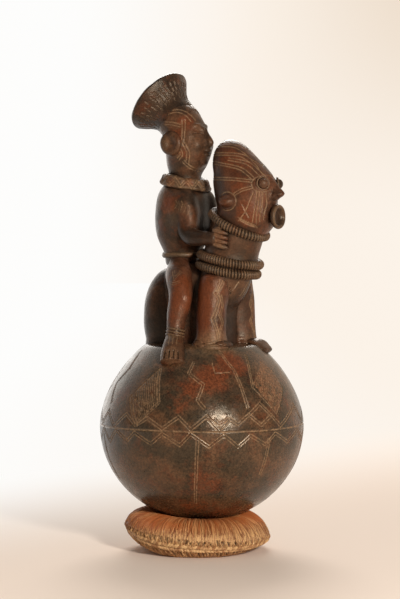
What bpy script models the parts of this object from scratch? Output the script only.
"""Ritual vase: a hollow clay globe on a wrapped raffia ring, crowned by a rider on a mount.

Metres, +Z up. The origin lies under the globe's axis, on the surface that the ring stands on.
Both figures look along +X, and their right side is towards -Y.
"""
from math import cos, pi, radians, sin, sqrt, tan

import bmesh
import bpy
from mathutils import Matrix, Vector

MM = 0.001

# Seats between pieces
LUTE_GAP = 0.3 * MM

# Raffia ring
RING_OUTER_RADIUS = 72 * MM
RING_HOLE_RADIUS = 22 * MM
RING_HEIGHT = 38 * MM
RING_FOOT_CUT = 2 * MM
RING_WRAP_WALL = 4 * MM
RING_WRAP_SLOT = 9 * MM
PLAIT_HEIGHT = 8 * MM
PLAIT_PROUD = 1.2 * MM
PLAIT_DEPTH = 2 * MM
PLAIT_MIDDLE = 11 * MM
STITCH_RADIUS = 1.1 * MM

# Globe
POT_RADIUS = 102 * MM
POT_LOWER_HEIGHT = 97 * MM
POT_UPPER_HEIGHT = 105 * MM
POT_SHOULDER_POWER = 1.7
POT_SHOULDER_RADIUS = 57 * MM
POT_CROWN_RISE = 3 * MM
POT_WALL = 7 * MM
POT_SEAT_RADIUS = 36 * MM
POT_SEAT_BITE = 1.5 * MM
POT_HOLE_RADIUS = 16 * MM

# Mount, heights above the globe's shoulder; the neck's top and its rings go by the mount's back
TRUNK_X = -10 * MM
TRUNK_HALF_LENGTH = 40 * MM
TRUNK_HALF_WIDTH = 27 * MM
BACK_HEIGHT = 82 * MM
RUMP_X = -38 * MM
RUMP_HALF_LENGTH = 27 * MM
RUMP_HALF_WIDTH = 33 * MM
RUMP_HEIGHT = 75 * MM
CHEST_X = 19 * MM
CHEST_HALF_LENGTH = 17 * MM
CHEST_HALF_WIDTH = 24 * MM
NECK_TOP_X = 44 * MM
NECK_RISE = 37 * MM
NECK_RADIUS = 27 * MM
NECK_TOP_PITCH = radians(27)
FORELEG_RADIUS = 14.5 * MM
FORELEG_X = 29 * MM
FORELEG_Y = 28 * MM
FORELEG_HEIGHT = 69 * MM
RIGHT_FOREFOOT_REACH = 5 * MM
LEFT_FOREFOOT_REACH = 17 * MM
FOREFOOT_THICKNESS = 9 * MM
NECK_RING_THICKNESS = 9.2 * MM
NECK_RING_DROP = 7 * MM
NECK_RING_PITCH = radians(10)
COLLAR_THICKNESS = 8.6 * MM
EYE_RADIUS = 5.6 * MM
MOUNT_EAR_LENGTH = 18 * MM
MOUNT_EAR_HEIGHT = 15 * MM
MOUNT_EAR_THICKNESS = 10 * MM
MOUNT_HEAD_LENGTH = 67 * MM
MOUNT_HEAD_WIDTH = 52 * MM
MOUNT_HEAD_HEIGHT = 83 * MM
MOUNT_NOSE_RADIUS = 6.5 * MM
LIP_DISC_RADIUS = 12 * MM
LIP_DISC_THICKNESS = 5 * MM
LIP_STEM_RADIUS = 7 * MM

# Rider, heights above the mount's back
RIDER_X = -23 * MM
TORSO_HEIGHT = 78 * MM
TORSO_HALF_DEPTH = 26 * MM
TORSO_HALF_WIDTH = 28 * MM
WAIST_RADIUS = 18 * MM
BELT_HEIGHT = 7 * MM
BELT_THICKNESS = 5 * MM
RIDER_NECK_RADIUS = 16 * MM
RIDER_HEAD_HEIGHT = 70 * MM
RIDER_HEAD_HALF_DEPTH = 25 * MM
RIDER_HEAD_HALF_WIDTH = 22 * MM
RIDER_COLLAR_HEIGHT = 13 * MM
RIDER_COLLAR_WIDTH = 10 * MM
RIDER_NOSE_RADIUS = 5 * MM
EAR_DISC_RADIUS = 12 * MM
EAR_DISC_THICKNESS = 8 * MM
HAIR_TILT = radians(50)
HAIR_HEIGHT = 25 * MM
HAIR_BASE_RADIUS = 18 * MM
HAIR_RIM_RADIUS = 34 * MM
HAIR_WALL = 6 * MM
ARM_RADIUS = 10 * MM
WRIST_RADIUS = 6 * MM
HAND_HEIGHT = 18 * MM
HAND_LENGTH = 15 * MM
HAND_THICKNESS = 5 * MM
FINGER_COUNT = 4
FINGER_RIDGE = 1.4 * MM
THIGH_RADIUS = 13.5 * MM
CALF_RADIUS = 9.5 * MM
ANKLE_RADIUS = 8 * MM
ANKLE_HEIGHT = 10 * MM
ANKLET_THICKNESS = 3 * MM
FOOT_LENGTH = 30 * MM
FOOT_WIDTH = 20 * MM
FOOT_THICKNESS = 11 * MM

# Channel from the globe to the mouth
TRUNK_HOLLOW_HALF_LENGTH = 18 * MM
TRUNK_HOLLOW_HALF_WIDTH = 19 * MM
TRUNK_ROOF = 12 * MM
CHANNEL_RADIUS = 7 * MM

# Facets
GLOBE_SIDES = 32
POT_STEPS = 8
HAIR_SIDES = 24
BODY_SIDES = 18
LIMB_SIDES = 10
COIL_TURNS = 24
COIL_SIDES = 6
TRIM_SIDES = 14
SHARP_ANGLE = radians(50)
HALF_FACET = pi / BODY_SIDES

NECK_TOP_HEIGHT = BACK_HEIGHT + NECK_RISE
NECK_RING_HEIGHT = BACK_HEIGHT - NECK_RING_DROP

# Where the globe sits: its underside bites into the ring's crown at the seat radius
RING_MID_RADIUS = (RING_OUTER_RADIUS + RING_HOLE_RADIUS) / 2
RING_HALF_WIDTH = (RING_OUTER_RADIUS - RING_HOLE_RADIUS) / 2
RING_HALF_HEIGHT = (RING_HEIGHT + RING_FOOT_CUT) / 2
RING_MID_HEIGHT = RING_HEIGHT - RING_HALF_HEIGHT


def ring_crown(radius):
    """Height of the ring's upper side at a radius."""
    across = (radius - RING_MID_RADIUS) / RING_HALF_WIDTH
    return RING_MID_HEIGHT + RING_HALF_HEIGHT * sqrt(1 - across**2)


def pot_upper(radius, inset=0.0):
    """Height of the globe's upper side over its equator."""
    share = (radius / (POT_RADIUS - inset))**POT_SHOULDER_POWER
    return (POT_UPPER_HEIGHT - inset) * max(0.0, 1 - share)**(1 / POT_SHOULDER_POWER)


def pot_lower(radius, inset=0.0):
    """Depth of the globe's lower side under its equator."""
    return (POT_LOWER_HEIGHT - inset) * sqrt(max(0.0, 1 - (radius / (POT_RADIUS - inset))**2))


EQUATOR_Z = ring_crown(POT_SEAT_RADIUS) - POT_SEAT_BITE + pot_lower(POT_SEAT_RADIUS)
SHOULDER_Z = EQUATOR_Z + pot_upper(POT_SHOULDER_RADIUS)


def pot_top(x, y):
    """Height of the globe's outside over its shoulder level, at a place on its upper half."""
    radius = sqrt(x * x + y * y)
    if radius > POT_SHOULDER_RADIUS:
        return EQUATOR_Z + pot_upper(radius) - SHOULDER_Z
    return POT_CROWN_RISE * (1 - (radius / POT_SHOULDER_RADIUS)**2)


# Modelling helpers
def smooth(keys, steps):
    """Rows of values on a Catmull-Rom curve through the keys."""
    rows = []
    last = len(keys) - 1
    for i in range(last):
        a, b, c, d = (keys[max(0, min(last, j))] for j in (i - 1, i, i + 1, i + 2))
        for k in range(steps):
            t = k / steps
            rows.append(tuple(
                0.5 * (2 * q + (r - p) * t + (2 * p - 5 * q + 4 * r - s) * t**2
                       + (3 * q - p - 3 * r + s) * t**3)
                for p, q, r, s in zip(a, b, c, d)))
    rows.append(tuple(keys[-1]))
    return rows


def skin(places, sides):
    """Closed skin over oval rings, each given by the matrix that places a unit circle."""
    bm = bmesh.new()
    previous = None
    for place in places:
        ring = bmesh.ops.create_circle(bm, segments=sides, radius=1.0, matrix=place)["verts"]
        edges = list({edge for vert in ring for edge in vert.link_edges})
        if previous:
            bmesh.ops.bridge_loops(bm, edges=previous + edges)
        previous = edges
    bmesh.ops.holes_fill(bm, edges=bm.edges, sides=0)
    bmesh.ops.recalc_face_normals(bm, faces=bm.faces)
    return bm


def stack(keys, steps, sides, grow, twist=0.0):
    """Body through level ovals: keys give x, z, half length, half width and forward pitch."""
    rows = smooth(keys, steps)
    start = Matrix.Rotation(twist, 4, "Z")
    places = []
    for i, (x, z, half_length, half_width, pitch) in enumerate(rows):
        turn = Matrix.Rotation(pitch, 4, "Y")
        push = grow * ((i == len(rows) - 1) - (i == 0))
        centre = Vector((x, 0, z)) + turn.to_3x3() @ Vector((0, 0, push))
        size = Matrix.Diagonal((half_length + grow, half_width + grow, 1, 1))
        places.append(Matrix.Translation(centre) @ turn @ size @ start)
    return skin(places, sides)


def limb(keys, steps, sides, grow, flat=1.0):
    """Round limb along a path: keys give x, y, z and radius; flat thins it upwards."""
    rows = smooth(keys, steps)
    points = [Vector(row[:3]) for row in rows]
    places = []
    for i, row in enumerate(rows):
        along = (points[min(i + 1, len(rows) - 1)] - points[max(i - 1, 0)]).normalized()
        push = grow * ((i == len(rows) - 1) - (i == 0))
        side = Vector((0, 0, 1)).cross(along)
        if side.length < 0.3:
            side = Vector((0, 1, 0)) - along * along.y
        side.normalize()
        turn = Matrix((along.cross(side), side, along)).transposed().to_4x4()
        size = Matrix.Diagonal((row[3] * flat + grow, row[3] + grow, 1, 1))
        places.append(Matrix.Translation(points[i] + along * push) @ turn @ size)
    return skin(places, sides)


def turned(profile, sides):
    """Shape turned about Z from a closed outline of radius and height."""
    bm = bmesh.new()
    verts = [bm.verts.new((radius, 0, height)) for radius, height in profile]
    for i, vert in enumerate(verts):
        bm.edges.new((vert, verts[(i + 1) % len(verts)]))
    bmesh.ops.spin(bm, geom=bm.verts[:] + bm.edges[:], cent=(0, 0, 0), axis=(0, 0, 1),
                   angle=2 * pi, steps=sides, use_merge=True)
    bmesh.ops.remove_doubles(bm, verts=bm.verts, dist=0.001 * MM)
    bmesh.ops.dissolve_degenerate(bm, edges=bm.edges, dist=0.001 * MM)
    bmesh.ops.recalc_face_normals(bm, faces=bm.faces)
    return bm


def coil(radius, half_width, half_height, sides):
    """Ring of oval section about Z."""
    outline = []
    for i in range(COIL_SIDES):
        turn = 2 * pi * (i + 0.5) / COIL_SIDES
        outline.append((radius + half_width * cos(turn), half_height * sin(turn)))
    return turned(outline, sides)


def egg(half_x, half_y, half_z):
    """Closed egg with the given half sizes."""
    bm = bmesh.new()
    bmesh.ops.create_uvsphere(bm, u_segments=TRIM_SIDES, v_segments=TRIM_SIDES // 2, radius=1.0,
                              matrix=Matrix.Diagonal((half_x, half_y, half_z, 1)))
    return bm


def rod(radius, length):
    """Round bar standing on its frame's origin."""
    bm = bmesh.new()
    bmesh.ops.create_cone(bm, cap_ends=True, segments=BODY_SIDES, radius1=radius, radius2=radius,
                          depth=length, matrix=Matrix.Translation((0, 0, length / 2)))
    return bm


def finish(name, colour, roughness):
    """Plain material of one finish."""
    material = bpy.data.materials.new(name)
    material.use_nodes = True
    shader = material.node_tree.nodes["Principled BSDF"]
    shader.inputs["Base Color"].default_value = (*colour, 1.0)
    shader.inputs["Roughness"].default_value = roughness
    shader.inputs["Metallic"].default_value = 0.0
    return material


def frame(name, location, parent=None, rotation=(0, 0, 0)):
    """Empty that carries the pieces drawn from one reference point."""
    empty = bpy.data.objects.new(name, None)
    empty.location = location
    empty.rotation_euler = rotation
    empty.parent = parent
    bpy.context.collection.objects.link(empty)
    return empty


def add_mesh(name, bm, parent):
    """Object made from a bmesh and carried by a frame."""
    mesh = bpy.data.meshes.new(name)
    bm.to_mesh(mesh)
    bm.free()
    obj = bpy.data.objects.new(name, mesh)
    obj.parent = parent
    bpy.context.collection.objects.link(obj)
    return obj


def hide_cutter(obj):
    obj.hide_render = True
    obj.display_type = "WIRE"


def cut(obj, cutter):
    """Take the cutter's shape away from the object."""
    trim = obj.modifiers.new("cut_" + cutter.name, "BOOLEAN")
    trim.operation = "DIFFERENCE"
    trim.solver = "EXACT"
    trim.object = cutter


shapes = {}
seats = {}


def piece(name, shape, material, parent, seated_on=()):
    """One sub-part, cut back from what it is seated on by the luting gap."""
    shapes[name] = (shape, parent)
    obj = add_mesh(name, shape(0.0), parent)
    obj.data.materials.append(material)
    obj.data.shade_smooth()
    obj.data.set_sharp_from_angle(angle=SHARP_ANGLE)
    for carrier in seated_on:
        cut(obj, seat_of(carrier))
    return obj


def seat_of(name):
    """Hidden cutter: the named piece's own shape, larger by the luting gap."""
    if name not in seats:
        shape, parent = shapes[name]
        seats[name] = add_mesh("seat_" + name, shape(LUTE_GAP), parent)
        hide_cutter(seats[name])
    return seats[name]


for leftover in list(bpy.data.objects):
    bpy.data.objects.remove(leftover, do_unlink=True)

# Finishes
dark_clay = finish("dark_burnished_clay", (0.075, 0.042, 0.03), 0.38)
brown_clay = finish("brown_burnished_clay", (0.125, 0.062, 0.04), 0.4)
red_clay = finish("red_slipped_clay", (0.17, 0.058, 0.035), 0.42)
worn_clay = finish("worn_coil_clay", (0.2, 0.12, 0.075), 0.5)
raffia = finish("raffia", (0.62, 0.4, 0.2), 0.75)
raffia_core = finish("dry_grass_core", (0.45, 0.33, 0.17), 0.85)
raffia_plait = finish("plaited_raffia", (0.66, 0.47, 0.26), 0.75)

# Frames
ring_frame = frame("ring_frame", (0, 0, 0))
vase_frame = frame("vase_frame", (0, 0, EQUATOR_Z))
shoulder_frame = frame("shoulder_frame", (0, 0, SHOULDER_Z - EQUATOR_Z), vase_frame)
neck_top_frame = frame("neck_top_frame", (NECK_TOP_X, 0, NECK_TOP_HEIGHT), shoulder_frame)
saddle_frame = frame("saddle_frame", (RIDER_X, 0, BACK_HEIGHT), shoulder_frame)


# Raffia ring
def ring_point(turn, inset):
    """Point of the ring's round section, flat underneath; turn 0 looks to the hole."""
    radius = RING_MID_RADIUS - (RING_HALF_WIDTH - inset) * cos(turn)
    height = RING_MID_HEIGHT + (RING_HALF_HEIGHT - inset) * sin(turn)
    return radius, max(height, 0.0)


HALF_SLOT_TURN = RING_WRAP_SLOT / 2 / RING_HALF_HEIGHT
RING_TURNS = [HALF_SLOT_TURN + (2 * pi - 2 * HALF_SLOT_TURN) * i / 16 for i in range(17)]


def ring_core_shape(grow):
    inset = RING_WRAP_WALL + LUTE_GAP - grow
    return turned([ring_point(turn, inset) for turn in RING_TURNS[::2]], GLOBE_SIDES)


def ring_side(height):
    """Outer radius of the ring at a height."""
    share = (height - RING_MID_HEIGHT) / RING_HALF_HEIGHT
    return RING_MID_RADIUS + RING_HALF_WIDTH * sqrt(1 - share**2)


def under_pot(radius, height):
    """The same point, pressed down by the globe where it sits in the ring."""
    return radius, min(height, EQUATOR_Z - pot_lower(radius) - LUTE_GAP)


GROOVE_HALF_HEIGHT = PLAIT_HEIGHT / 2 + 2 * STITCH_RADIUS + 2 * LUTE_GAP
GROOVE_LOW = PLAIT_MIDDLE - GROOVE_HALF_HEIGHT
GROOVE_HIGH = PLAIT_MIDDLE + GROOVE_HALF_HEIGHT


def groove_floor(height):
    """Radius of the groove's floor at a height."""
    return ring_side(height) - PLAIT_DEPTH


def ring_wrap_shape(grow):
    """Wrapping round the core, open towards the hole, with a groove for the plait and its stitches."""
    upper = [under_pot(*ring_point(turn, -grow)) for turn in RING_TURNS if turn <= pi]
    lower = [ring_point(turn, -grow) for turn in RING_TURNS if turn > pi]
    above = [point for point in upper if point[1] > GROOVE_HIGH or point[0] < RING_MID_RADIUS]
    below = [point for point in lower if point[1] < GROOVE_LOW or point[0] < RING_MID_RADIUS]
    levels = [GROOVE_HIGH - 2 * GROOVE_HALF_HEIGHT * i / 3 for i in range(4)]
    groove = [(ring_side(GROOVE_HIGH), GROOVE_HIGH)]
    groove += [(groove_floor(level), level) for level in levels]
    groove += [(ring_side(GROOVE_LOW), GROOVE_LOW)]
    inner = [ring_point(turn, RING_WRAP_WALL + grow) for turn in reversed(RING_TURNS[::2])]
    return turned(above + groove + below + inner, GLOBE_SIDES)


def plait_shape(grow):
    """Band laid in the ring's groove, standing a little proud of the wrapping."""
    low = PLAIT_MIDDLE - PLAIT_HEIGHT / 2 - grow
    levels = [low + (PLAIT_HEIGHT + 2 * grow) * i / 3 for i in range(4)]
    outer = [(ring_side(level) + PLAIT_PROUD + grow, level) for level in levels]
    inner = [(groove_floor(level) + LUTE_GAP - grow, level) for level in reversed(levels)]
    return turned(outer + inner, GLOBE_SIDES)


def stitch_shape(way):
    """Stitching cord in the groove, over or under the plait."""
    def shape(grow):
        height = PLAIT_MIDDLE + way * (PLAIT_HEIGHT / 2 + STITCH_RADIUS + LUTE_GAP)
        bm = coil(ring_side(height) - STITCH_RADIUS * 0.3, STITCH_RADIUS + grow, STITCH_RADIUS + grow,
                  GLOBE_SIDES)
        bmesh.ops.translate(bm, verts=bm.verts, vec=(0, 0, height))
        return bm
    return shape


# Globe
def pot_outline(inset, crown):
    """Half outline of the globe from its foot to its crown, as radius and height over the equator."""
    radius = POT_RADIUS - inset
    points = []
    for i in range(POT_STEPS + 1):
        across = radius * sin(pi / 2 * i / POT_STEPS)
        points.append((across, -pot_lower(across, inset)))
    ceiling = pot_upper(POT_SHOULDER_RADIUS) - inset
    for i in range(1, POT_STEPS):
        level = ceiling * sin(pi / 2 * i / (POT_STEPS - 1))
        share = (level / (POT_UPPER_HEIGHT - inset))**POT_SHOULDER_POWER
        points.append((radius * (1 - share)**(1 / POT_SHOULDER_POWER), level))
    points.append((POT_SHOULDER_RADIUS / 2, ceiling + crown * 0.75))
    points.append((0.0, ceiling + crown))
    return points


def pot_shape(grow):
    """Solid globe, used as the seat of what stands on it."""
    return turned(pot_outline(-grow, POT_CROWN_RISE), GLOBE_SIDES)


def pot_hollow_shape(grow):
    return turned(pot_outline(POT_WALL + grow, 0.0), GLOBE_SIDES)


# Mount
def trunk_shape(grow):
    """Loaf-shaped body, sunk into the globe's crown and rounded over the back."""
    sunk = -POT_CROWN_RISE
    rise = BACK_HEIGHT - sunk
    rows = ((0.0, 1.0), (0.45, 1.0), (0.72, 0.93), (0.88, 0.76), (0.97, 0.48), (1.0, 0.18))
    keys = [(TRUNK_X, sunk + rise * up, TRUNK_HALF_LENGTH * wide, TRUNK_HALF_WIDTH * wide, 0.0)
            for up, wide in rows]
    return stack(keys, 2, BODY_SIDES, grow, HALF_FACET)


def rump_shape(grow):
    """Rounded hind quarters behind the trunk."""
    sunk = -POT_CROWN_RISE
    rise = RUMP_HEIGHT - sunk
    rows = ((0.0, 0.86), (0.3, 1.0), (0.55, 0.97), (0.78, 0.8), (0.93, 0.48), (1.0, 0.15))
    keys = [(RUMP_X, sunk + rise * up, RUMP_HALF_LENGTH * wide, RUMP_HALF_WIDTH * wide, 0.0)
            for up, wide in rows]
    return stack(keys, 2, BODY_SIDES, grow)


NECK_KEYS = (
    (CHEST_X, -POT_CROWN_RISE, CHEST_HALF_LENGTH, CHEST_HALF_WIDTH, 0.0),
    (CHEST_X, NECK_RING_HEIGHT * 0.5, CHEST_HALF_LENGTH, CHEST_HALF_WIDTH, 0.0),
    (0.5 * (CHEST_X + NECK_TOP_X), NECK_RING_HEIGHT, NECK_RADIUS, NECK_RADIUS, NECK_RING_PITCH),
    (0.3 * CHEST_X + 0.7 * NECK_TOP_X, 0.5 * (NECK_RING_HEIGHT + NECK_TOP_HEIGHT), NECK_RADIUS,
     NECK_RADIUS, 0.5 * (NECK_RING_PITCH + NECK_TOP_PITCH)),
    (NECK_TOP_X, NECK_TOP_HEIGHT, NECK_RADIUS, NECK_RADIUS, NECK_TOP_PITCH),
)


def neck_shape(grow):
    """Chest column that leans forward into the neck."""
    return stack(NECK_KEYS, 3, BODY_SIDES, grow)


def neck_at(height):
    """Middle of the neck and its radius at a height."""
    rows = smooth(NECK_KEYS, 8)
    row = min(rows, key=lambda entry: abs(entry[1] - height))
    return row[0], row[2]


def foreleg_shape(side):
    def shape(grow):
        y = side * FORELEG_Y
        foot = pot_top(FORELEG_X, y) - POT_CROWN_RISE
        rows = ((0.0, 1.05), (0.5, 1.0), (0.8, 0.96), (0.95, 0.8), (1.0, 0.5))
        keys = [(FORELEG_X, y * (1 - 0.35 * up**2), foot + (FORELEG_HEIGHT - foot) * up,
                 FORELEG_RADIUS * wide) for up, wide in rows]
        return limb(keys, 2, LIMB_SIDES, grow)
    return shape


def forefoot_shape(side, reach):
    """Flat foot in front of a foreleg, lying on the globe."""
    def shape(grow):
        y = side * FORELEG_Y
        half = FORELEG_RADIUS * 0.8
        keys = []
        for along, wide in ((0.0, 1.0), (0.6, 1.0), (0.9, 0.9), (1.0, 0.7)):
            x = FORELEG_X + FORELEG_RADIUS * 0.4 + (FORELEG_RADIUS * 0.6 + reach) * along
            keys.append((x, y, pot_top(x, y) + FOREFOOT_THICKNESS * 0.25, half * wide))
        return limb(keys, 2, LIMB_SIDES, grow, FOREFOOT_THICKNESS / 2 / half)
    return shape


def neck_coil_shape(height, pitch, thickness):
    """Notched coil laid round the neck, half bedded in it."""
    def shape(grow):
        x, radius = neck_at(height)
        bm = coil(radius + 0.2 * thickness, thickness / 2 + grow, thickness / 2 + grow, COIL_TURNS)
        place = Matrix.Translation((x, 0, height)) @ Matrix.Rotation(pitch, 4, "Y")
        bmesh.ops.transform(bm, matrix=place, verts=bm.verts)
        return bm
    return shape


HEAD_HALF_LENGTH = MOUNT_HEAD_LENGTH / 2
HEAD_HALF_WIDTH = MOUNT_HEAD_WIDTH / 2
HEAD_ROWS = (
    (0.04, 0.004, 0.84, 0.96, 1.0),
    (0.25, 0.12, 0.93, 1.0, 0.6),
    (0.26, 0.27, 0.97, 1.02, 0.2),
    (0.23, 0.42, 1.0, 1.0, 0.0),
    (0.13, 0.54, 0.93, 0.96, -0.2),
    (-0.02, 0.66, 0.78, 0.88, -0.4),
    (-0.17, 0.78, 0.62, 0.77, -0.55),
    (-0.30, 0.90, 0.42, 0.57, -0.7),
    (-0.38, 0.97, 0.22, 0.3, -0.8),
    (-0.41, 0.995, 0.06, 0.08, -0.8),
)
HEAD_KEYS = [(HEAD_HALF_LENGTH * x, MOUNT_HEAD_HEIGHT * z, HEAD_HALF_LENGTH * length,
              HEAD_HALF_WIDTH * width, NECK_TOP_PITCH * lean)
             for x, z, length, width, lean in HEAD_ROWS]


def mount_head_shape(grow):
    """Long head with a high sloping brow, over the neck's slanted top."""
    lift = Vector((sin(NECK_TOP_PITCH), 0, cos(NECK_TOP_PITCH))) * LUTE_GAP
    bm = stack(HEAD_KEYS, 2, BODY_SIDES, grow)
    bmesh.ops.translate(bm, verts=bm.verts, vec=lift)
    return bm


def head_side(height, turn):
    """Point on the mount's head and the way it faces; turn 0 looks forward, 90 degrees to its left."""
    rows = smooth(HEAD_KEYS, 8)
    row = min(rows, key=lambda entry: abs(entry[1] - height))
    point = Vector((row[0] + row[2] * cos(turn), row[3] * sin(turn), height))
    facing = Vector((cos(turn) / row[2], sin(turn) / row[3], 0)).normalized()
    return point, facing


def eye_shape(side):
    def shape(grow):
        point, facing = head_side(MOUNT_HEAD_HEIGHT * 0.48, side * radians(30))
        bm = egg(EYE_RADIUS + grow, EYE_RADIUS + grow, EYE_RADIUS + grow)
        bmesh.ops.translate(bm, verts=bm.verts, vec=point + facing * EYE_RADIUS * 0.25)
        return bm
    return shape


def mount_ear_shape(side):
    def shape(grow):
        point, _ = head_side(MOUNT_HEAD_HEIGHT * 0.27, side * radians(102))
        bm = egg(MOUNT_EAR_LENGTH / 2 + grow, MOUNT_EAR_THICKNESS / 2 + grow,
                 MOUNT_EAR_HEIGHT / 2 + grow)
        bmesh.ops.translate(bm, verts=bm.verts, vec=point)
        return bm
    return shape


def mount_nose_shape(grow):
    """Wedge nose running down from the brow."""
    brow, _ = head_side(MOUNT_HEAD_HEIGHT * 0.48, 0.0)
    tip, _ = head_side(MOUNT_HEAD_HEIGHT * 0.31, 0.0)
    reach = MOUNT_NOSE_RADIUS
    keys = [(brow.x - reach * 0.5, 0, brow.z, MOUNT_NOSE_RADIUS * 0.45),
            (tip.x + reach * 0.35, 0, tip.z + reach * 0.5, MOUNT_NOSE_RADIUS),
            (tip.x + reach * 0.3, 0, tip.z - reach * 0.5, MOUNT_NOSE_RADIUS * 0.55)]
    return limb(keys, 3, LIMB_SIDES, grow)


def lip_disc_shape(grow):
    """Disc on a short stem, facing forward from the mouth."""
    mouth, _ = head_side(MOUNT_HEAD_HEIGHT * 0.13, 0.0)
    stem = LIP_STEM_RADIUS
    rim = LIP_DISC_RADIUS + grow
    thick = LIP_DISC_THICKNESS / 2
    outline = [(0, -stem - thick - grow), (stem + grow, -stem - thick - grow),
               (stem + grow, -thick - grow), (rim * 0.94, -thick - grow), (rim, -thick * 0.4),
               (rim, thick * 0.4), (rim * 0.94, thick + grow), (rim * 0.6, thick + grow),
               (0, thick + grow)]
    bm = turned(outline, TRIM_SIDES)
    place = Matrix.Translation(mouth + Vector((stem * 0.5, 0, 0))) @ Matrix.Rotation(pi / 2, 4, "Y")
    bmesh.ops.transform(bm, matrix=place, verts=bm.verts)
    return bm


# Rider
def torso_shape(grow):
    """Barrel chest over a narrow waist."""
    rows = ((-0.06, 0.0), (0.06, 0.0), (0.14, 0.2), (0.32, 0.82), (0.55, 1.0), (0.74, 0.96),
            (0.88, 0.72), (0.96, 0.3), (1.0, 0.1))
    keys = [(0.0, TORSO_HEIGHT * up, WAIST_RADIUS + (TORSO_HALF_DEPTH - WAIST_RADIUS) * full,
             WAIST_RADIUS + (TORSO_HALF_WIDTH - WAIST_RADIUS) * full, 0.0) for up, full in rows]
    return stack(keys, 2, BODY_SIDES, grow)


def belt_shape(grow):
    bm = coil(WAIST_RADIUS + 0.2 * BELT_THICKNESS, BELT_THICKNESS / 2 + grow,
              BELT_THICKNESS / 2 + grow, BODY_SIDES)
    bmesh.ops.translate(bm, verts=bm.verts, vec=(0, 0, BELT_HEIGHT))
    return bm


RIDER_HEAD_ROWS = (
    (0.16, 0.0, 0.0), (0.14, 0.10, 0.0), (0.2, 0.24, 0.55), (0.22, 0.40, 0.9), (0.18, 0.56, 1.0),
    (0.08, 0.74, 0.9), (-0.06, 0.88, 0.42), (-0.16, 0.97, -0.35), (-0.2, 1.0, -0.85),
)
RIDER_NECK_AND_HEAD = RIDER_HEAD_HEIGHT + RIDER_COLLAR_HEIGHT


def rider_girth(half, full):
    """Half size between the neck's radius and the head's, or below the neck's towards the crown."""
    if full > 0:
        return RIDER_NECK_RADIUS + (half - RIDER_NECK_RADIUS) * full
    return RIDER_NECK_RADIUS * (1 + full)


RIDER_HEAD_KEYS = [
    (RIDER_HEAD_HALF_DEPTH * x, TORSO_HEIGHT + LUTE_GAP + RIDER_NECK_AND_HEAD * up,
     rider_girth(RIDER_HEAD_HALF_DEPTH, full), rider_girth(RIDER_HEAD_HALF_WIDTH, full), 0.0)
    for x, up, full in RIDER_HEAD_ROWS]


def rider_head_shape(grow):
    """Oval head and round neck in one."""
    return stack(RIDER_HEAD_KEYS, 2, BODY_SIDES, grow)


def rider_side(up, turn):
    """Point on the rider's head; turn 0 looks forward, 90 degrees to its left."""
    rows = smooth(RIDER_HEAD_KEYS, 8)
    height = TORSO_HEIGHT + RIDER_NECK_AND_HEAD * up
    row = min(rows, key=lambda entry: abs(entry[1] - height))
    return Vector((row[0] + row[2] * cos(turn), row[3] * sin(turn), height))


def rider_collar_shape(grow):
    radius = RIDER_NECK_RADIUS + 0.4 * RIDER_COLLAR_WIDTH
    bm = coil(radius, RIDER_COLLAR_WIDTH / 2 + grow, RIDER_COLLAR_HEIGHT / 2 + grow, BODY_SIDES)
    place = Vector((RIDER_HEAD_KEYS[0][0], 0, TORSO_HEIGHT + 0.15 * RIDER_COLLAR_HEIGHT))
    bmesh.ops.translate(bm, verts=bm.verts, vec=place)
    return bm


def rider_nose_shape(grow):
    """Plain wedge nose."""
    top = rider_side(0.62, 0.0)
    tip = rider_side(0.5, 0.0)
    reach = RIDER_NOSE_RADIUS
    keys = [(top.x - reach * 0.5, 0, top.z, reach * 0.5), (tip.x + reach * 0.2, 0, tip.z, reach),
            (tip.x, 0, tip.z - reach * 0.8, reach * 0.5)]
    return limb(keys, 2, LIMB_SIDES, grow)


def ear_disc_shape(side):
    """Dished disc on the side of the head."""
    def shape(grow):
        point = rider_side(0.48, side * radians(104))
        half = EAR_DISC_THICKNESS / 2 + grow
        rim = EAR_DISC_RADIUS + grow
        outline = [(0, -half), (rim * 0.8, -half), (rim, -half * 0.3), (rim, half * 0.4),
                   (rim * 0.85, half), (0, half)]
        bm = turned(outline, TRIM_SIDES)
        place = (Matrix.Translation(point + Vector((0, side * EAR_DISC_THICKNESS * 0.1, 0)))
                 @ Matrix.Rotation(-side * pi / 2, 4, "X"))
        bmesh.ops.transform(bm, matrix=place, verts=bm.verts)
        return bm
    return shape


def hair_shape(grow):
    """Flaring funnel with a thick round rim and an open mouth."""
    base = HAIR_BASE_RADIUS
    flare = HAIR_RIM_RADIUS - HAIR_BASE_RADIUS
    rows = ((-0.1, -0.75), (0.0, -0.2), (0.1, 0.12), (0.34, 0.4), (0.68, 0.64), (0.93, 0.82))
    outer = [(base + flare * out, HAIR_HEIGHT * up) for out, up in rows]
    lip = HAIR_WALL / 2 + grow
    rim = [(HAIR_RIM_RADIUS - HAIR_WALL / 2 + lip * cos(turn),
            HAIR_HEIGHT - HAIR_WALL / 2 + lip * sin(turn))
           for turn in (0.0, pi / 4, pi / 2, 3 * pi / 4)]
    inner = [(CHANNEL_RADIUS + (HAIR_RIM_RADIUS - HAIR_WALL - CHANNEL_RADIUS) * out, HAIR_HEIGHT * up)
             for out, up in ((0.8, 0.72), (0.42, 0.46), (0.14, 0.2), (0.0, -0.05), (0.0, -0.75))]
    outline = [(radius + grow, height) for radius, height in outer] + rim
    outline += [(radius - grow, height) for radius, height in inner]
    return turned(outline, HAIR_SIDES)


def grip():
    """Height and reach of the hands on the mount's neck, in the shoulder frame."""
    height = NECK_TOP_HEIGHT - NECK_RADIUS * 0.5
    x, radius = neck_at(height)
    return x, radius, height


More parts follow.
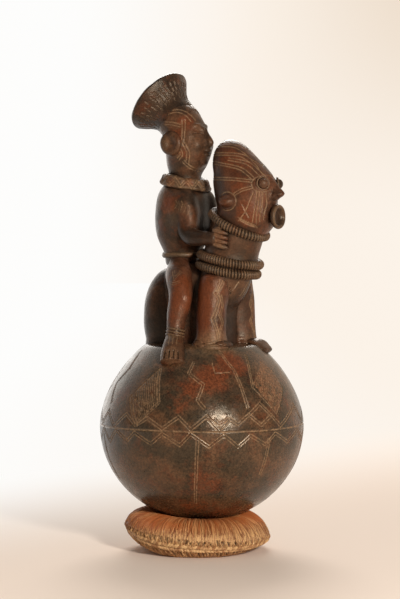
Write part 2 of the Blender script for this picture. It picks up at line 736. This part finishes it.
def hand_shape(side):
    """Flat hand with finger ridges, laid on the side of the neck."""
    def shape(grow):
        x, radius, height = grip()
        half = HAND_HEIGHT / 2 + grow
        bm = bmesh.new()
        outline = [(-radius + HAND_THICKNESS * 0.3, -half), (-radius + HAND_THICKNESS * 0.3, half)]
        steps = 6 * FINGER_COUNT
        for i in range(steps + 1):
            share = i / steps
            ridge = FINGER_RIDGE * abs(sin(pi * FINGER_COUNT * share))
            outline.append((-radius - HAND_THICKNESS + FINGER_RIDGE - ridge - grow,
                            half - 2 * half * share))
        back = x - HAND_LENGTH * 0.35 - grow
        verts = [bm.verts.new((back, y, height + z)) for y, z in outline]
        face = bm.faces.new(verts)
        made = bmesh.ops.extrude_face_region(bm, geom=[face])["geom"]
        moved = [part for part in made if isinstance(part, bmesh.types.BMVert)]
        bmesh.ops.translate(bm, verts=moved, vec=(HAND_LENGTH + 2 * grow, 0, 0))
        if side > 0:
            bmesh.ops.scale(bm, vec=(1, -1, 1), verts=bm.verts)
        bmesh.ops.recalc_face_normals(bm, faces=bm.faces)
        return bm
    return shape


def arm_shape(side):
    """Arm from the shoulder down to the elbow and forward to the wrist."""
    def shape(grow):
        x, radius, height = grip()
        wrist_x = x - HAND_LENGTH * 0.35 - LUTE_GAP
        wrist_y = radius + HAND_THICKNESS * 0.35
        shoulder = (RIDER_X + 0.12 * TORSO_HALF_DEPTH, side * TORSO_HALF_WIDTH * 0.78,
                    BACK_HEIGHT + TORSO_HEIGHT * 0.83)
        elbow = (RIDER_X + 0.8 * TORSO_HALF_DEPTH, side * (TORSO_HALF_WIDTH + ARM_RADIUS * 0.4),
                 height + ARM_RADIUS * 0.3)
        keys = [(shoulder[0] - 0.1 * ARM_RADIUS, shoulder[1], shoulder[2] + 0.7 * ARM_RADIUS,
                 ARM_RADIUS * 0.55),
                (*shoulder, ARM_RADIUS),
                (0.5 * (shoulder[0] + elbow[0]), 0.45 * shoulder[1] + 0.55 * elbow[1],
                 0.5 * (shoulder[2] + elbow[2]), ARM_RADIUS * 1.1),
                (*elbow, ARM_RADIUS),
                (0.5 * (elbow[0] + wrist_x), side * 0.5 * (abs(elbow[1]) + wrist_y), height,
                 0.5 * (ARM_RADIUS + WRIST_RADIUS)),
                (wrist_x, side * wrist_y, height, WRIST_RADIUS)]
        return limb(keys, 3, LIMB_SIDES, grow)
    return shape


def leg_path(side):
    """Leg points in the shoulder frame, from the hip to the ankle on the globe."""
    hip = (RIDER_X + 0.3 * TORSO_HALF_DEPTH, side * TRUNK_HALF_WIDTH * 0.8, BACK_HEIGHT)
    ankle_x = RIDER_X + TORSO_HALF_DEPTH * 0.85
    ankle_y = side * (TRUNK_HALF_WIDTH + THIGH_RADIUS + ANKLE_RADIUS)
    ankle = (ankle_x, ankle_y, pot_top(ankle_x, ankle_y) + ANKLE_HEIGHT)
    knee = (RIDER_X + TORSO_HALF_DEPTH * 0.97, side * (TRUNK_HALF_WIDTH + THIGH_RADIUS * 1.1),
            0.5 * (hip[2] + ankle[2]))
    return hip, knee, ankle


def leg_shape(side):
    """Leg hanging over the trunk's side."""
    def shape(grow):
        hip, knee, ankle = leg_path(side)
        keys = [(hip[0] - 0.2 * THIGH_RADIUS, hip[1], hip[2] + 0.5 * THIGH_RADIUS, THIGH_RADIUS * 0.6),
                (*hip, THIGH_RADIUS),
                (0.45 * hip[0] + 0.55 * knee[0], 0.45 * hip[1] + 0.55 * knee[1],
                 0.5 * (hip[2] + knee[2]), THIGH_RADIUS * 0.95),
                (*knee, 0.5 * (THIGH_RADIUS + CALF_RADIUS)),
                (0.5 * (knee[0] + ankle[0]) - 0.2 * CALF_RADIUS, 0.5 * (knee[1] + ankle[1]),
                 0.45 * knee[2] + 0.55 * ankle[2], CALF_RADIUS),
                (*ankle, ANKLE_RADIUS)]
        return limb(keys, 3, LIMB_SIDES, grow)
    return shape


def anklet_shape(side):
    def shape(grow):
        _, knee, ankle = leg_path(side)
        along = (Vector(knee) - Vector(ankle)).normalized()
        bm = coil(ANKLE_RADIUS + 0.2 * ANKLET_THICKNESS, ANKLET_THICKNESS / 2 + grow,
                  ANKLET_THICKNESS / 2 + grow, TRIM_SIDES)
        place = Matrix.Translation(Vector(ankle) + along * ANKLET_THICKNESS)
        turn = Vector((0, 0, 1)).rotation_difference(along).to_matrix().to_4x4()
        bmesh.ops.transform(bm, matrix=place @ turn, verts=bm.verts)
        return bm
    return shape


def foot_shape(side):
    """Broad foot that follows the globe's shoulder outwards."""
    def shape(grow):
        _, _, ankle = leg_path(side)
        heading = Vector((0.45, side * 0.9, 0)).normalized()
        keys = []
        for along, up, wide in ((-0.22, 0.5, 0.6), (0.05, 0.62, 0.85), (0.4, 0.4, 0.95),
                                (0.75, 0.18, 1.05), (0.95, 0.1, 0.8)):
            spot = Vector(ankle) + heading * FOOT_LENGTH * along
            keys.append((spot.x, spot.y, pot_top(spot.x, spot.y) + FOOT_THICKNESS * up,
                         FOOT_WIDTH / 2 * wide))
        return limb(keys, 3, LIMB_SIDES, grow, FOOT_THICKNESS / FOOT_WIDTH)
    return shape


# Assembly: each piece is cut back from those it is seated on
def drill(obj, name, bm, parent):
    """Hollow out part of a piece."""
    cutter = add_mesh(name, bm, parent)
    hide_cutter(cutter)
    cut(obj, cutter)


pot = piece("pot_body", pot_shape, brown_clay, vase_frame)
drill(pot, "pot_hollow", pot_hollow_shape(0.0), vase_frame)
channel_foot = frame("channel_foot", (RIDER_X, 0, -2 * POT_WALL), shoulder_frame)
drill(pot, "pot_hole", rod(POT_HOLE_RADIUS, 4 * POT_WALL), channel_foot)

piece("ring_wrap", ring_wrap_shape, raffia, ring_frame)
piece("ring_core", ring_core_shape, raffia_core, ring_frame)
piece("ring_plait", plait_shape, raffia_plait, ring_frame)
piece("ring_stitch_upper", stitch_shape(1), raffia_plait, ring_frame)
piece("ring_stitch_lower", stitch_shape(-1), raffia_plait, ring_frame)

piece("mount_neck", neck_shape, brown_clay, shoulder_frame, ["pot_body"])
trunk = piece("mount_trunk", trunk_shape, dark_clay, shoulder_frame, ["pot_body", "mount_neck"])
hollow_keys = [(0.0, -2 * POT_CROWN_RISE, TRUNK_HOLLOW_HALF_LENGTH, TRUNK_HOLLOW_HALF_WIDTH, 0.0),
               (0.0, 0.75 * (BACK_HEIGHT - TRUNK_ROOF), TRUNK_HOLLOW_HALF_LENGTH,
                TRUNK_HOLLOW_HALF_WIDTH, 0.0),
               (0.0, BACK_HEIGHT - TRUNK_ROOF, CHANNEL_RADIUS, CHANNEL_RADIUS, 0.0)]
hollow_frame = frame("hollow_frame", (RIDER_X, 0, 0), shoulder_frame)
drill(trunk, "trunk_hollow", stack(hollow_keys, 4, BODY_SIDES, 0.0), hollow_frame)
piece("mount_rump", rump_shape, dark_clay, shoulder_frame, ["pot_body", "mount_trunk"])
for side, which, reach in ((-1, "right", RIGHT_FOREFOOT_REACH), (1, "left", LEFT_FOREFOOT_REACH)):
    piece(f"mount_{which}_foreleg", foreleg_shape(side), red_clay, shoulder_frame,
          ["pot_body", "mount_neck", "mount_trunk"])
    piece(f"mount_{which}_forefoot", forefoot_shape(side, reach), brown_clay, shoulder_frame,
          ["pot_body", "mount_neck", f"mount_{which}_foreleg"])
neck_ring_rise = (NECK_RING_THICKNESS + LUTE_GAP) / cos(NECK_RING_PITCH)
for level, which in ((NECK_RING_HEIGHT, "lower"), (NECK_RING_HEIGHT + neck_ring_rise, "upper")):
    piece(f"mount_neck_ring_{which}", neck_coil_shape(level, NECK_RING_PITCH, NECK_RING_THICKNESS),
          worn_clay, shoulder_frame,
          ["mount_neck", "mount_trunk", "mount_right_foreleg", "mount_left_foreleg"])

piece("mount_head", mount_head_shape, red_clay, neck_top_frame)
piece("mount_collar", neck_coil_shape(NECK_TOP_HEIGHT, NECK_TOP_PITCH, COLLAR_THICKNESS), worn_clay,
      shoulder_frame, ["mount_neck", "mount_head"])
piece("mount_nose", mount_nose_shape, red_clay, neck_top_frame, ["mount_head"])
piece("mount_lip_disc", lip_disc_shape, brown_clay, neck_top_frame,
      ["mount_head", "mount_nose", "mount_collar"])
for side, which in ((-1, "right"), (1, "left")):
    piece(f"mount_{which}_eye", eye_shape(side), brown_clay, neck_top_frame, ["mount_head"])
    piece(f"mount_{which}_ear", mount_ear_shape(side), red_clay, neck_top_frame,
          ["mount_head", "mount_collar"])

torso = piece("rider_torso", torso_shape, dark_clay, saddle_frame, ["mount_trunk"])
piece("rider_belt", belt_shape, worn_clay, saddle_frame, ["mount_trunk", "rider_torso"])
rider_head = piece("rider_head", rider_head_shape, brown_clay, saddle_frame)
piece("rider_collar", rider_collar_shape, worn_clay, saddle_frame, ["rider_torso", "rider_head"])
piece("rider_nose", rider_nose_shape, brown_clay, saddle_frame, ["rider_head", "mount_head"])
crown_x, crown_height = RIDER_HEAD_KEYS[-3][:2]
hair_x = crown_x - HAIR_BASE_RADIUS * 0.45
hair_height = crown_height - HAIR_BASE_RADIUS * 0.1
hair_frame = frame("hair_frame", (hair_x, 0, hair_height), saddle_frame, (0, -HAIR_TILT, 0))
piece("rider_hair", hair_shape, dark_clay, hair_frame, ["rider_head"])

# The channel rises through trunk, torso and head, and bends into the throat of the coiffure
bend_height = hair_height + hair_x / tan(HAIR_TILT)
bend_depth = -hair_x / sin(HAIR_TILT)
channel_start = -2 * TRUNK_ROOF
channel_frame = frame("channel_frame", (0, 0, channel_start), saddle_frame)
throat_frame = frame("throat_frame", (0, 0, -bend_depth - CHANNEL_RADIUS / 2), hair_frame)
for obj in (trunk, torso, rider_head):
    drill(obj, "channel_" + obj.name, rod(CHANNEL_RADIUS, bend_height - channel_start), channel_frame)
drill(rider_head, "throat_bore", rod(CHANNEL_RADIUS, bend_depth + 2 * HAIR_BASE_RADIUS), throat_frame)

for side, which in ((-1, "right"), (1, "left")):
    piece(f"rider_{which}_ear", ear_disc_shape(side), brown_clay, saddle_frame,
          ["rider_head", "rider_hair"])
    piece(f"rider_{which}_leg", leg_shape(side), red_clay, shoulder_frame,
          ["pot_body", "mount_trunk", "mount_rump", "rider_torso", "rider_belt", "mount_neck",
           f"mount_{which}_foreleg"])
    piece(f"rider_{which}_anklet", anklet_shape(side), worn_clay, shoulder_frame,
          ["pot_body", f"rider_{which}_leg", "mount_trunk"])
    piece(f"rider_{which}_foot", foot_shape(side), brown_clay, shoulder_frame,
          ["pot_body", f"rider_{which}_leg", f"rider_{which}_anklet", "mount_trunk",
           f"mount_{which}_foreleg"])
    piece(f"rider_{which}_hand", hand_shape(side), worn_clay, shoulder_frame,
          ["mount_neck", "mount_collar", "mount_neck_ring_upper"])
    piece(f"rider_{which}_arm", arm_shape(side), dark_clay, shoulder_frame,
          ["rider_torso", "mount_neck", "mount_neck_ring_upper", f"rider_{which}_hand",
           f"rider_{which}_leg"])
